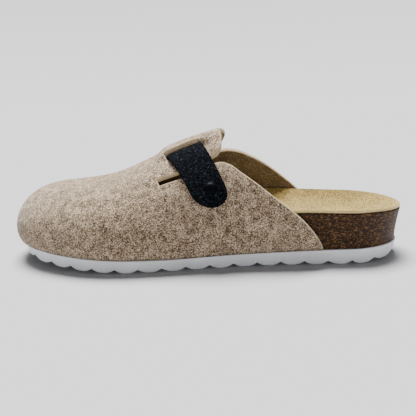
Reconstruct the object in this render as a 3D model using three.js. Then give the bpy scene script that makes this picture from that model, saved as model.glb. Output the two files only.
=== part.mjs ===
// A felt clog slipper for the left foot, standing empty on its sole.
// One felt upper with a tongue and two side wings closes round a cork footbed on a moulded outsole.
// A dark felt strap runs under the crest of the tongue and is snapped to both wings.
// Millimetres. X runs from the toe to the heel, Y from the outer side to the inner side, Z up.

import * as THREE from 'three';
import { mergeVertices } from 'three/addons/utils/BufferGeometryUtils.js';

// Driving dimensions
const soleLength = 262;
const ballWidth = 93.5;
const heelWidth = 66;
const soleThickness = 8;
const heelThickness = 10.5;
const toeSpring = 4.8;
const heelSpring = 3.2;
const treadDepth = 2.3;
const treadPitch = 15.4;
const treadStart = 2.6;
const rimHeight = 36.5;
const cupHeight = 29;
const insoleThickness = 1.8;
const instepHeight = 88;
const feltThickness = 3.6;
const slitWidth = 3;
const strapWidth = 22.4;
const strapThickness = 2.7;
const strapSlotWidth = 5.4;
const strapSlotPlay = 2.4;
const capDiameter = 8.6;
const capHeight = 1.7;
const studDiameter = 8;
const studHeight = 1.2;
const clearance = 0.3;

// Where things sit, as shares of the sole's length counted from the toe, or of the way from crest to base
const toeCapShare = 0.23;
const toeCapPower = 2.15;
const heelCapShare = 0.135;
const springShare = 0.45;
const treadSpringShare = 0.32;
const heelSpringShare = 0.875;
const slitStartShare = 0.437;
const strapShare = 0.553;
const capSetback = 0.008;
const strapEndShare = 0.715;
const capShare = 0.603;
const slotUpperShare = 0.43;

const planTable = [
  // share from the toe, share of the way from heel width to ball width, centre as a share of ball width
  { at: 0.0, toBall: 0.85, centre: 0.083 },
  { at: 0.05, toBall: 0.87, centre: 0.066 },
  { at: 0.1, toBall: 0.89, centre: 0.045 },
  { at: 0.16, toBall: 0.93, centre: 0.021 },
  { at: 0.23, toBall: 0.99, centre: -0.009 },
  { at: 0.3, toBall: 0.93, centre: -0.029 },
  { at: 0.38, toBall: 0.68, centre: -0.041 },
  { at: 0.48, toBall: 0.31, centre: -0.0455 },
  { at: 0.58, toBall: 0.06, centre: -0.034 },
  { at: 0.68, toBall: -0.01, centre: -0.018 },
  { at: 0.78, toBall: 0.0, centre: -0.006 },
  { at: 0.9, toBall: 0.0, centre: -0.003 },
  { at: 1.0, toBall: 0.0, centre: 0.0 },
];

const footbedTable = [
  // top of the footbed's edge on each side as shares of rim height, and its floor as a share of cup height
  { at: 0.0, outer: 0.61, inner: 0.61, floor: 0.67 },
  { at: 0.06, outer: 0.6, inner: 0.6, floor: 0.63 },
  { at: 0.12, outer: 0.57, inner: 0.58, floor: 0.607 },
  { at: 0.18, outer: 0.56, inner: 0.57, floor: 0.58 },
  { at: 0.28, outer: 0.58, inner: 0.6, floor: 0.595 },
  { at: 0.36, outer: 0.64, inner: 0.68, floor: 0.705 },
  { at: 0.44, outer: 0.73, inner: 0.8, floor: 0.81 },
  { at: 0.54, outer: 0.86, inner: 0.97, floor: 0.95 },
  { at: 0.64, outer: 0.97, inner: 1.06, floor: 1.0 },
  { at: 0.74, outer: 1.02, inner: 1.035, floor: 0.93 },
  { at: 0.86, outer: 0.995, inner: 0.99, floor: 0.855 },
  { at: 0.94, outer: 0.985, inner: 0.965, floor: 0.88 },
  { at: 1.0, outer: 0.94, inner: 0.94, floor: 0.96 },
];

const corkTable = [
  // how far the cork's lower edge lies inside the sole's edge, and how far its top flares past that,
  // as shares of rim height
  { at: 0.0, inset: 0.055, flare: 0.01 },
  { at: 0.3, inset: 0.055, flare: 0.012 },
  { at: 0.55, inset: 0.04, flare: 0.02 },
  { at: 0.66, inset: 0.03, flare: 0.045 },
  { at: 0.75, inset: 0.027, flare: 0.06 },
  { at: 0.9, inset: 0.026, flare: 0.07 },
  { at: 1.0, inset: 0.024, flare: 0.088 },
];

const crestTable = [
  // height of the upper's crest line as a share of instep height
  { at: -0.03, height: 0.572 },
  { at: 0.0, height: 0.578 },
  { at: 0.05, height: 0.585 },
  { at: 0.14, height: 0.598 },
  { at: 0.21, height: 0.62 },
  { at: 0.26, height: 0.648 },
  { at: 0.31, height: 0.692 },
  { at: 0.345, height: 0.737 },
  { at: 0.38, height: 0.784 },
  { at: 0.43, height: 0.86 },
  { at: 0.48, height: 0.916 },
  { at: 0.53, height: 0.958 },
  { at: 0.59, height: 1.0 },
  { at: 0.67, height: 1.05 },
  { at: 0.76, height: 1.1 },
  { at: 0.9, height: 1.16 },
];

const ribTable = [
  // for a rib starting at this share of the sole's edge: where it meets the crest line, how square it is,
  // how far its flank swells as a share of ball width, and how round its turn at the crest is
  { at: 0.0, crest: 0.148, power: 3.5, swell: 0.044, turn: 0.0 },
  { at: 0.04, crest: 0.152, power: 3.3, swell: 0.042, turn: 0.0 },
  { at: 0.11, crest: 0.17, power: 2.8, swell: 0.036, turn: 0.04 },
  { at: 0.19, crest: 0.204, power: 2.5, swell: 0.034, turn: 0.12 },
  { at: 0.265, crest: 0.246, power: 2.3, swell: 0.034, turn: 0.2 },
  { at: 0.34, crest: 0.289, power: 2.16, swell: 0.032, turn: 0.3 },
  { at: 0.42, crest: 0.333, power: 2.05, swell: 0.034, turn: 0.4 },
  { at: 0.534, crest: 0.402, power: 1.98, swell: 0.042, turn: 0.4 },
  { at: 0.61, crest: 0.452, power: 1.94, swell: 0.05, turn: 0.4 },
  { at: 0.69, crest: 0.5, power: 1.92, swell: 0.054, turn: 0.4 },
  { at: 0.745, crest: 0.538, power: 1.92, swell: 0.054, turn: 0.4 },
  { at: 0.81, crest: 0.58, power: 1.92, swell: 0.054, turn: 0.4 },
  { at: 0.9, crest: 0.64, power: 1.92, swell: 0.054, turn: 0.4 },
];

const slitTable = [
  // the tongue's lower edges, above the slits, as shares of the way from crest to base
  { at: 0.437, outer: 0.44, inner: 0.44 },
  { at: 0.5, outer: 0.438, inner: 0.436 },
  { at: 0.56, outer: 0.417, inner: 0.41 },
  { at: 0.6, outer: 0.388, inner: 0.37 },
  { at: 0.64, outer: 0.366, inner: 0.34 },
  { at: 0.7, outer: 0.36, inner: 0.33 },
];

const tongueEndTable = [
  // share across the half tongue, and how far its rear edge lies behind the slot, as shares of strap width
  { at: 0.0, outer: 0.58, inner: 0.58 },
  { at: 0.15, outer: 0.56, inner: 0.58 },
  { at: 0.3, outer: 0.47, inner: 0.5 },
  { at: 0.44, outer: 0.37, inner: 0.42 },
  { at: 0.63, outer: 0.32, inner: 0.36 },
  { at: 0.82, outer: 0.27, inner: 0.3 },
  { at: 0.92, outer: 0.18, inner: 0.2 },
  { at: 1.0, outer: 0.05, inner: 0.06 },
];

const wingEndTable = [
  // share of the way down the wing, and where its rear edge starts on the sole's edge, outer and inner side
  { at: 0.0, outer: 0.615, inner: 0.626 },
  { at: 0.012, outer: 0.632, inner: 0.643 },
  { at: 0.04, outer: 0.645, inner: 0.658 },
  { at: 0.1, outer: 0.658, inner: 0.674 },
  { at: 0.2, outer: 0.667, inner: 0.690 },
  { at: 0.35, outer: 0.688, inner: 0.714 },
  { at: 0.5, outer: 0.712, inner: 0.739 },
  { at: 0.7, outer: 0.755, inner: 0.776 },
  { at: 0.88, outer: 0.786, inner: 0.800 },
  { at: 1.0, outer: 0.8, inner: 0.806 },
];

// Smooth reading of one column of a table, with a slope at each row taken from its neighbours
function readTable(table, column, at) {
  const last = table.length - 1;
  if (at <= table[0].at) return table[0][column];
  if (at >= table[last].at) return table[last][column];
  let row = 0;
  while (table[row + 1].at < at) row += 1;
  const slope = (low, high) =>
    (table[high][column] - table[low][column]) / (table[high].at - table[low].at);
  const span = table[row + 1].at - table[row].at;
  const t = (at - table[row].at) / span;
  const startSlope = slope(Math.max(row - 1, 0), row + 1) * span;
  const endSlope = slope(row, Math.min(row + 2, last)) * span;
  const start = table[row][column];
  const end = table[row + 1][column];
  const rise = end - start;
  const curve = 3 * rise - 2 * startSlope - endSlope;
  return start + t * (startSlope + t * (curve + t * (startSlope + endSlope - 2 * rise)));
}

const blend = (low, high, t) => low + (high - low) * t;

function ease(low, high, value) {
  const t = Math.min(1, Math.max(0, (value - low) / (high - low)));
  return t * t * (3 - 2 * t);
}

// Plan shape of the sole

const shareToX = (share) => (share - 0.5) * soleLength;
const xToShare = (x) => x / soleLength + 0.5;

// A station runs from 0 at the toe's tip, over 1 and 2 where the round ends stop, to 3 at the heel's back
function stationShape(station) {
  if (station < 1) {
    const angle = (station * Math.PI) / 2;
    return {
      share: toeCapShare * (1 - Math.cos(angle) ** (2 / toeCapPower)),
      fullness: Math.sin(angle) ** (2 / toeCapPower),
    };
  }
  if (station > 2) {
    const angle = ((3 - station) * Math.PI) / 2;
    return { share: 1 - heelCapShare * (1 - Math.cos(angle)), fullness: Math.sin(angle) };
  }
  return { share: blend(toeCapShare, 1 - heelCapShare, station - 1), fullness: 1 };
}

function shareToStation(share) {
  if (share < toeCapShare) {
    const cosine = (1 - Math.max(share, 0) / toeCapShare) ** (toeCapPower / 2);
    return Math.acos(Math.min(1, cosine)) / (Math.PI / 2);
  }
  if (share > 1 - heelCapShare) {
    const cosine = 1 - (1 - Math.min(share, 1)) / heelCapShare;
    return 3 - Math.acos(Math.min(1, cosine)) / (Math.PI / 2);
  }
  return 1 + (share - toeCapShare) / (1 - heelCapShare - toeCapShare);
}

function soleEdge(station, side) {
  const { share, fullness } = stationShape(station);
  const halfWidth = (blend(heelWidth, ballWidth, readTable(planTable, 'toBall', share)) / 2) * fullness;
  const centre = readTable(planTable, 'centre', share) * ballWidth;
  return new THREE.Vector2(shareToX(share), centre + side * halfWidth);
}

// The sole's edge moved outwards by an offset; side is -1 on the foot's outer side and 1 on its inner side
function offsetEdge(station, side, offset) {
  const step = 0.01;
  const before = soleEdge(Math.abs(station - step), station < step ? -side : side);
  const after = soleEdge(3 - Math.abs(3 - station - step), station > 3 - step ? -side : side);
  const along = after.sub(before).normalize();
  const outward = new THREE.Vector2(-side * along.y, side * along.x);
  return { point: soleEdge(station, side).addScaledVector(outward, offset), outward };
}

// Heights of the sole and the footbed

function treadHeight(share) {
  const toeLift = toeSpring * Math.max(0, 1 - share / treadSpringShare) ** 1.3;
  const heelLift = heelSpring * Math.max(0, (share - heelSpringShare) / (1 - heelSpringShare)) ** 1.6;
  return toeLift + heelLift;
}

function soleTop(share) {
  const toeLift = toeSpring * Math.max(0, 1 - share / springShare) ** 1.5;
  return toeLift + blend(soleThickness, heelThickness, ease(0.35, 0.97, share));
}

const corkInset = (share) => readTable(corkTable, 'inset', share) * rimHeight;
const corkFlare = (share) => readTable(corkTable, 'flare', share) * rimHeight;

// Height of the footbed's top, under the foot; across is -1 at the outer edge and 1 at the inner edge
function footbedTop(station, across) {
  const { share, fullness } = stationShape(station);
  const outer = readTable(footbedTable, 'outer', share);
  const inner = readTable(footbedTable, 'inner', share);
  const rim = blend(outer, inner, (across + 1) / 2) * rimHeight;
  const floor = readTable(footbedTable, 'floor', share) * cupHeight;
  const outwards = Math.sqrt(1 - fullness ** 2 * (1 - across ** 2));
  const rise = Math.max(0, (outwards - 0.3) / 0.7) ** 2.2;
  return blend(Math.min(floor, rim), rim, rise);
}

// Shape of the upper's outer face

const edgeOffset = (share) => feltThickness + clearance - corkInset(share);

// A point of the upper: station along the sole's edge, across from -1 at the outer base over the crest to 1
function upperPoint(station, across) {
  if (station < 0) return upperPoint(-station, -across);
  const side = across < 0 ? -1 : 1;
  const { share } = stationShape(station);
  const base = offsetEdge(station, side, edgeOffset(share));
  const crestShare = readTable(ribTable, 'crest', share);
  const power = readTable(ribTable, 'power', share);
  const turn = readTable(ribTable, 'turn', share);
  const angle = (Math.abs(across) * Math.PI) / 2;
  const outwards = Math.sin(angle) ** (2 / power);
  const upwards = Math.max(0, Math.cos(angle)) ** (2 / power);
  const backwards = (Math.hypot(outwards, turn) - turn) / (Math.hypot(1, turn) - turn);
  const swell = readTable(ribTable, 'swell', share) * ballWidth * Math.sin(Math.PI * upwards ** 0.6);
  const crestX = shareToX(crestShare);
  const crestY = (readTable(planTable, 'centre', crestShare) + 0.03) * ballWidth;
  const x = crestX + (base.point.x - crestX) * backwards + base.outward.x * swell;
  const y = crestY + (base.point.y - crestY) * outwards + base.outward.y * swell;
  const baseHeight = soleTop(share) + clearance;
  const crest = readTable(crestTable, 'height', xToShare(x)) * instepHeight;
  return new THREE.Vector3(x, y, baseHeight + (crest - baseHeight) * upwards);
}

function upperNormal(station, across) {
  const step = 0.004;
  const along = upperPoint(station + step, across).sub(upperPoint(station - step, across));
  const over = upperPoint(station, across + step).sub(upperPoint(station, across - step));
  return along.cross(over).normalize();
}

const upperOffset = (station, across, offset) =>
  upperPoint(station, across).addScaledVector(upperNormal(station, across), offset);

// How much of the way from crest to base a length takes up along a rib
function lengthAcross(station, across, length) {
  const step = 0.01;
  const over = upperPoint(station, across + step).distanceTo(upperPoint(station, across - step));
  return (length * 2 * step) / over;
}

// How much of a station a length takes up, square to a rib
function lengthAlong(station, across, length) {
  const step = 0.01;
  const along = upperPoint(station + step, across).sub(upperPoint(station - step, across));
  const rib = upperPoint(station, across + step).sub(upperPoint(station, across - step)).normalize();
  return (length * 2 * step) / along.addScaledVector(rib, -along.dot(rib)).length();
}

// The strap's band across the instep

const capStation = shareToStation(strapShare + capSetback);
const strapLean = 0.185;
const strapStraight = 0.2;

// The strap's middle line leans back towards the instep, and runs straight across under the crest
function strapMiddle(across) {
  const climb = capShare - Math.max(Math.abs(across), strapStraight);
  return shareToStation(strapShare + strapLean * climb * Math.abs(climb));
}

const strapHalf = (across) => lengthAlong(strapMiddle(across), across, strapWidth / 2);
const slotHalf = (across) => lengthAlong(strapMiddle(across), across, strapWidth / 2 + strapSlotPlay);
const sideOf = (across) => (across < 0 ? 'outer' : 'inner');
const tongueEdge = (share, side) => readTable(slitTable, side, share);
const slotUpper = (share, side) => slotUpperShare * tongueEdge(share, side);

function slotLower(station, side) {
  const upper = slotUpper(stationShape(station).share, side);
  return upper + lengthAcross(station, upper, strapSlotWidth);
}

function wingTop(station, side) {
  const edge = tongueEdge(stationShape(station).share, side);
  return edge + lengthAcross(station, edge, slitWidth);
}

// The crest is pushed up where the strap runs under it, and the strip below the slot is pressed in.
// In front of the slot the felt sinks back to its smooth shape, and behind it the tongue stays flared.
const crestLift = strapThickness * 0.9;
const lipLift = strapThickness * 1.4;
const stripDip = strapThickness * 0.45;

function feltPush(station, across) {
  const height = Math.abs(across);
  const { share } = stationShape(station);
  const side = sideOf(across);
  const upper = slotUpper(share, side);
  const lower = slotLower(station, side);
  const edge = tongueEdge(share, side);
  if (height > (edge + wingTop(station, side)) / 2) return 0;
  const fromMiddle = (station - strapMiddle(height)) / slotHalf(height);
  const lip = blend(crestLift, lipLift, Math.min(1, height / upper) ** 3);
  const strip = -stripDip * Math.max(0, 1 - (height - lower) / (edge - lower)) ** 2;
  const inSlot = Math.min(1, Math.max(0, (height - upper) / (lower - upper)));
  const banded = blend(lip, height < lower ? -stripDip : strip, inSlot);
  if (fromMiddle < 0) return blend(banded, 0, ease(0.6, 1.7, -fromMiddle));
  return blend(banded, crestLift, ease(0.8, 1.7, fromMiddle));
}

const feltPoint = (station, across) => upperOffset(station, across, feltPush(station, across));

// Solids from grids

// Grids of points become one sheet; skip(row, column) leaves a cell open
function sheetGeometry(grids) {
  const positions = [];
  const put = (...points) => points.forEach((point) => positions.push(point.x, point.y, point.z));
  grids.forEach(({ rows, skip }) => {
    for (let i = 0; i + 1 < rows.length; i += 1) {
      for (let j = 0; j + 1 < rows[i].length; j += 1) {
        if (skip && skip(i, j)) continue;
        const [a, b, c, d] = [rows[i][j], rows[i + 1][j], rows[i + 1][j + 1], rows[i][j + 1]];
        put(a, b, c, a, c, d);
      }
    }
  });
  const loose = new THREE.BufferGeometry();
  loose.setAttribute('position', new THREE.Float32BufferAttribute(positions, 3));
  const joined = mergeVertices(loose, 1e-3);
  const kept = [];
  const index = joined.index.array;
  for (let i = 0; i < index.length; i += 3) {
    const [a, b, c] = index.subarray(i, i + 3);
    if (a !== b && b !== c && c !== a) kept.push(a, b, c);
  }
  joined.setIndex(kept);
  return joined;
}

function openEdges(index) {
  const seen = new Set();
  for (let i = 0; i < index.length; i += 3) {
    for (let k = 0; k < 3; k += 1) seen.add(`${index[i + k]} ${index[i + ((k + 1) % 3)]}`);
  }
  return [...seen].map((edge) => edge.split(' ').map(Number)).filter(([a, b]) => !seen.has(`${b} ${a}`));
}

// Closes a sheet to a solid, between its outer points and a second set of points with the same order
function closeSheet(sheet, inner) {
  const count = sheet.attributes.position.count;
  const index = Array.from(sheet.index.array);
  const faces = [...index];
  for (let i = 0; i < index.length; i += 3) {
    faces.push(index[i] + count, index[i + 2] + count, index[i + 1] + count);
  }
  openEdges(index).forEach(([a, b]) => faces.push(b, a, a + count, b, a + count, b + count));
  const solid = new THREE.BufferGeometry();
  const positions = [...sheet.attributes.position.array, ...inner];
  solid.setAttribute('position', new THREE.Float32BufferAttribute(positions, 3));
  solid.setIndex(faces);
  return solid;
}

// A wall of even thickness behind a sheet
function wallGeometry(grids, thickness) {
  const sheet = sheetGeometry(grids);
  sheet.computeVertexNormals();
  const outer = sheet.attributes.position.array;
  const normals = sheet.attributes.normal.array;
  sheet.deleteAttribute('normal');
  return closeSheet(sheet, Array.from(outer, (value, i) => value - thickness * normals[i]));
}

const steps = (from, to, count) => Array.from({ length: count + 1 }, (_, i) => blend(from, to, i / count));

// Outsole

// Depth of the tread at a distance along one lobe: a narrow groove, round flanks and a flat middle
const lobeProfile = [
  { at: 0.0, depth: 1.0 },
  { at: 0.06, depth: 0.74 },
  { at: 0.14, depth: 0.45 },
  { at: 0.26, depth: 0.14 },
  { at: 0.38, depth: 0.0 },
  { at: 0.62, depth: 0.0 },
  { at: 0.74, depth: 0.14 },
  { at: 0.86, depth: 0.45 },
  { at: 0.94, depth: 0.74 },
];

// Columns of the tread: the ends are round, and the first lobe is cut short by the tread's start
function treadColumns() {
  const endSteps = [0, 0.3, 1.1];
  const endRoom = 1.6;
  const lobes = Math.round(soleLength / treadPitch);
  const pitch = soleLength / lobes;
  const columns = [];
  for (let lobe = 0; lobe <= lobes; lobe += 1) {
    lobeProfile.forEach(({ at, depth }) => {
      const distance = (lobe + at) * pitch - treadStart;
      if (distance > endRoom && distance < soleLength - endRoom) columns.push([distance, depth]);
    });
  }
  const [[, firstDepth]] = columns;
  const lastDepth = columns[columns.length - 1][1];
  endSteps.forEach((distance, step) => {
    const t = 1 - step / endSteps.length;
    columns.push([distance, blend(firstDepth, 1, t)], [soleLength - distance, blend(lastDepth, 1, t)]);
  });
  return columns
    .map(([distance, depth]) => ({ share: distance / soleLength, depth }))
    .sort((a, b) => a.share - b.share);
}

function outsoleGeometry() {
  const columns = treadColumns();
  const acrossTread = steps(-1, 1, 8);
  const sideTaper = 0.9;
  const groovePush = 2.6;
  const top = [];
  const tread = [];
  const outerSide = [];
  const innerSide = [];
  columns.forEach(({ share, depth }) => {
    const station = shareToStation(share);
    const edges = [-1, 1].map((side) => offsetEdge(station, side, 0).point);
    const feet = [-1, 1].map((side) => offsetEdge(station, side, -sideTaper).point);
    const topPoints = edges.map((edge) => new THREE.Vector3(edge.x, edge.y, soleTop(share)));
    const treadPoints = acrossTread.map((across) => {
      const t = (across + 1) / 2;
      const wave = groovePush * Math.sin(2 * Math.PI * t * 2) * stationShape(station).fullness;
      const x = blend(feet[0].x, feet[1].x, t) + wave * ease(0, 0.06, share) * ease(0, 0.06, 1 - share);
      const height = treadHeight(xToShare(x)) + depth * treadDepth;
      return new THREE.Vector3(x, blend(feet[0].y, feet[1].y, t), height);
    });
    top.push([topPoints[1], topPoints[0]]);
    tread.push(treadPoints);
    outerSide.push([topPoints[0], treadPoints[0]]);
    innerSide.push([treadPoints[treadPoints.length - 1], topPoints[1]]);
  });
  const faces = [top, tread, outerSide, innerSide];
  return sheetGeometry(faces.map((rows) => flipGrid({ rows })));
}

function flipGrid({ rows }) {
  return { rows: rows.map((row) => [...row].reverse()) };
}

// Cork footbed and insole

const bedStations = [...steps(0, 1, 10), ...steps(1, 2, 14).slice(1), ...steps(2, 3, 8).slice(1)];
const bedAcross = [-1, -0.92, -0.75, -0.5, -0.2, 0.2, 0.5, 0.75, 0.92, 1];

// A point between the footbed's two edges, at a share of the flare
function bedPoint(station, across, flareShare, height) {
  const { share } = stationShape(station);
  const offset = corkFlare(share) * flareShare - corkInset(share);
  const [outer, inner] = [-1, 1].map((side) => offsetEdge(station, side, offset).point);
  const plan = outer.lerp(inner, (across + 1) / 2);
  return new THREE.Vector3(plan.x, plan.y, height);
}

function corkGeometry() {
  const drop = insoleThickness + clearance;
  const corkFace = (station, across) => footbedTop(station, across) - drop;
  const floorAt = (station) => soleTop(stationShape(station).share) + clearance;
  const top = [];
  const bottom = [];
  const sides = { outer: [], inner: [] };
  bedStations.forEach((station) => {
    const floor = floorAt(station);
    top.push(bedAcross.map((across) => bedPoint(station, across, 1, corkFace(station, across))));
    bottom.push([1, -1].map((across) => bedPoint(station, across, 0, floor)));
    const wall = (across) =>
      [0, 0.35, 0.7, 1].map((rise) =>
        bedPoint(station, across, rise, blend(floor, corkFace(station, across), rise)),
      );
    sides.outer.push(wall(-1));
    sides.inner.push(wall(1).reverse());
  });
  return sheetGeometry([{ rows: top }, { rows: bottom }, { rows: sides.outer }, { rows: sides.inner }]);
}

function insoleGeometry() {
  const top = [];
  const bottom = [];
  bedStations.forEach((station) => {
    const face = (drop) => (across) => bedPoint(station, across, 1, footbedTop(station, across) - drop);
    top.push(bedAcross.map(face(0)));
    bottom.push(bedAcross.map(face(insoleThickness)));
  });
  const sheet = sheetGeometry([{ rows: top }]);
  const under = sheetGeometry([{ rows: bottom }]);
  return closeSheet(sheet, under.attributes.position.array);
}

// Felt upper

function upperGrids() {
  const slitStation = shareToStation(slitStartShare);
  const slotLowerRow = (station, side) =>
    slotLower(station, side) / tongueEdge(stationShape(station).share, side);
  const crestRows = 3;
  const stripRows = 3;
  const wingRows = [0, 0.012, 0.04, 0.1, 0.2, 0.35, 0.5, 0.7, 0.86, 0.95, 1];

  // shares across the half tongue, from the crest to its lower edge; the slot lies between two of them
  const tongueRows = (station, side) => {
    const lower = Math.min(slotLowerRow(station, side), 0.92);
    return [...steps(0, slotUpperShare, crestRows), ...steps(lower, 1, stripRows)];
  };
  const acrossOf = (station, side) => [
    ...tongueRows(station, side).map((row) => row * tongueEdge(slitStartShare, side)),
    ...wingRows.map((row) => blend(wingTop(station, side), 1, row)),
  ];

  const vampStations = [...steps(0, 1, 9), ...steps(1, slitStation, 5).slice(1)];
  const outerAcross = acrossOf(slitStation, 'outer').slice(1);
  const vampAcross = [...outerAcross.map((across) => -across).reverse(), ...acrossOf(slitStation, 'inner')];
  const vampRow = (station) => vampAcross.map((across) => feltPoint(station, across));
  const vamp = { rows: vampStations.map(vampRow) };

  const slotCell = crestRows;
  const approachSteps = 3;
  const slotSteps = 8;
  const rearSteps = 4;
  const halfCount = tongueRows(slitStation, 'outer').length;
  const tongue = ['outer', 'inner'].map((side) => {
    const way = side === 'outer' ? -1 : 1;
    const columns = Array.from({ length: halfCount }, (_, row) => {
      const share = tongueRows(capStation, side)[row];
      const across = way * share * tongueEdge(strapShare, side);
      const [start, end] = [-1, 1].map((turn) => strapMiddle(across) + turn * slotHalf(across));
      const rear = end + lengthAlong(end, across, readTable(tongueEndTable, side, share) * strapWidth);
      const stations = [
        ...steps(slitStation, start, approachSteps),
        ...steps(start, end, slotSteps).slice(1),
        ...steps(end, rear, rearSteps).slice(1),
      ];
      return stations.map((station) => {
        const edge = tongueEdge(stationShape(station).share, side);
        return feltPoint(station, way * tongueRows(station, side)[row] * edge);
      });
    });
    const rows = columns[0].map((_, i) => columns.map((points) => points[i]));
    const open = (i, j) => j === slotCell && i >= approachSteps && i < approachSteps + slotSteps;
    if (way > 0) return { rows, skip: open };
    return { rows: rows.map((row) => row.reverse()), skip: (i, j) => open(i, halfCount - 2 - j) };
  });

  const wings = ['outer', 'inner'].map((side) => {
    const way = side === 'outer' ? -1 : 1;
    const rows = steps(0, 1, 9).map((along) =>
      wingRows.map((row) => {
        const end = shareToStation(readTable(wingEndTable, side, row));
        const station = blend(slitStation, end, along);
        return feltPoint(station, way * blend(wingTop(station, side), 1, row));
      }),
    );
    return way < 0 ? { rows: rows.map((row) => row.reverse()) } : { rows };
  });

  return [vamp, ...tongue, ...wings];
}

const upperGeometry = () => wallGeometry(upperGrids(), feltThickness);

// Strap

// How far the strap's outer face lies from the upper's smooth shape, outside the wings and under the crest
function strapOffset(station, across) {
  const height = Math.abs(across);
  const side = sideOf(across);
  const upper = slotUpper(stationShape(station).share, side);
  const lower = slotLower(station, side);
  const way = Math.sign(across);
  const bow = strapThickness * 0.22 * ease(blend(upper, lower, 0.6), lower, height);
  const rise = strapThickness + clearance + bow * (1 - ease(lower, lower * 2, height));
  const outside = rise + feltPush(station, way * Math.max(height, lower));
  const inside = feltPush(station, way * Math.min(height, upper)) - feltThickness - clearance;
  return blend(inside, outside, ease(upper - 0.01, lower + 0.01, height));
}

function strapGeometry() {
  const halfWidthAt = (across) => {
    const toEnd = (strapEndShare - Math.abs(across)) / lengthAcross(capStation, across, strapWidth / 2);
    return Math.sqrt(Math.max(0, 1 - Math.max(0, 1 - toEnd) ** 2));
  };
  const endRows = [0, 0.012, 0.035, 0.07].map((gap) => strapEndShare - gap);
  const middleRows = [...steps(0.6, 0.36, 5), ...steps(0.34, 0.14, 11), ...steps(0.1, 0, 2)];
  const half = [...endRows, ...middleRows];
  const acrossRows = [...half.map((across) => -across), ...half.slice(0, -1).reverse()];
  const rows = acrossRows.map((across) =>
    [-1, -0.8, -0.4, 0, 0.4, 0.8, 1].map((share) => {
      const station = strapMiddle(across) + share * strapHalf(across) * halfWidthAt(across);
      return upperOffset(station, across, strapOffset(station, across));
    }),
  );
  return wallGeometry([flipGrid({ rows })], strapThickness);
}

// Snap fasteners

// A snap's axis leaves the wing through the strap, square to the upper's face
function snapFrame(side) {
  const across = side * capShare;
  const turn = new THREE.Quaternion().setFromUnitVectors(
    new THREE.Vector3(0, 1, 0),
    upperNormal(capStation, across),
  );
  const seat = upperPoint(capStation, across);
  return new THREE.Matrix4().compose(seat, turn, new THREE.Vector3(1, 1, 1));
}

function turned(profile) {
  const lathe = new THREE.LatheGeometry(
    profile.map(([radius, height]) => new THREE.Vector2(radius, height)),
    20,
  );
  lathe.deleteAttribute('normal');
  lathe.deleteAttribute('uv');
  return mergeVertices(lathe, 1e-4);
}

// The cap's flat seat clears the strap's outer face, and the stud's seat clears the wing's inner face
const snapSag = 0.15;
const capSeat = strapThickness + 2 * clearance;
const studSeat = -feltThickness - clearance - snapSag;

function capProfile() {
  const radius = capDiameter / 2;
  return [
    [0, capSeat],
    [radius * 0.94, capSeat],
    [radius, capSeat + capHeight * 0.2],
    [radius * 0.97, capSeat + capHeight * 0.45],
    [radius * 0.86, capSeat + capHeight * 0.72],
    [radius * 0.55, capSeat + capHeight * 0.94],
    [0, capSeat + capHeight],
  ];
}

function studProfile() {
  const radius = studDiameter / 2;
  return [
    [0, studSeat - studHeight],
    [radius * 0.8, studSeat - studHeight],
    [radius, studSeat - studHeight * 0.6],
    [radius, studSeat],
    [0, studSeat],
  ];
}

// Assembly

const finishes = {
  outsole: { color: 0xe9eaec, roughness: 0.6 },
  cork: { color: 0x4a2f1a, roughness: 0.6 },
  insole: { color: 0xc3ab7c, roughness: 0.95 },
  felt: { color: 0xa8998a, roughness: 1 },
  strap: { color: 0x14171b, roughness: 1 },
  snap: { color: 0x0b0d14, roughness: 0.35, metalness: 0.2 },
};

function addPiece(group, name, geometry, finish) {
  const mesh = new THREE.Mesh(geometry, new THREE.MeshStandardMaterial(finishes[finish]));
  mesh.name = name;
  group.add(mesh);
}

const slipper = new THREE.Group();
addPiece(slipper, 'outsole', outsoleGeometry(), 'outsole');
addPiece(slipper, 'cork_footbed', corkGeometry(), 'cork');
addPiece(slipper, 'insole', insoleGeometry(), 'insole');
addPiece(slipper, 'upper', upperGeometry(), 'felt');
addPiece(slipper, 'strap', strapGeometry(), 'strap');
['lateral', 'medial'].forEach((name, i) => {
  const frame = snapFrame(i === 0 ? -1 : 1);
  addPiece(slipper, `snap_cap_${name}`, turned(capProfile()).applyMatrix4(frame), 'snap');
  addPiece(slipper, `snap_stud_${name}`, turned(studProfile()).applyMatrix4(frame), 'snap');
});

// The origin is on the floor, under the middle of the whole slipper
const extent = new THREE.Box3().setFromObject(slipper);
const middle = extent.getCenter(new THREE.Vector3());
slipper.position.set(-middle.x, -middle.y, -extent.min.z);

export default slipper;
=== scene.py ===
import bpy
import numpy as np
from mathutils import Matrix, Vector


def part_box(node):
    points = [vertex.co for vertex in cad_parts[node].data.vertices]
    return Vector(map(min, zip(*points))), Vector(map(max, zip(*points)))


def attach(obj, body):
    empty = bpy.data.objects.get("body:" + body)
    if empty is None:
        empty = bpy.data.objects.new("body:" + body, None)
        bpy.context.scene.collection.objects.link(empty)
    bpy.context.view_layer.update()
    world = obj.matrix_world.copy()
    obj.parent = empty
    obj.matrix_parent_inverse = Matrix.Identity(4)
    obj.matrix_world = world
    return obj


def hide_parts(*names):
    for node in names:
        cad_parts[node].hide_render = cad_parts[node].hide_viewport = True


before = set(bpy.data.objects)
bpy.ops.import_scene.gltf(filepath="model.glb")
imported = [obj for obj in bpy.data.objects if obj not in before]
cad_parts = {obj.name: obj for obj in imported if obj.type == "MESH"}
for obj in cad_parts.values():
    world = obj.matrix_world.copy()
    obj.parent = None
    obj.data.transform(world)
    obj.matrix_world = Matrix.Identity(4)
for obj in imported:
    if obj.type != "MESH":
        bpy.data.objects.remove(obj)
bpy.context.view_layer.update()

# A felt clog slipper for the left foot. Shapes are worked out in millimetres, X from toe to heel,
# Y from the foot's outer side to its inner side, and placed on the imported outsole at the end.
mm = 0.001
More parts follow.
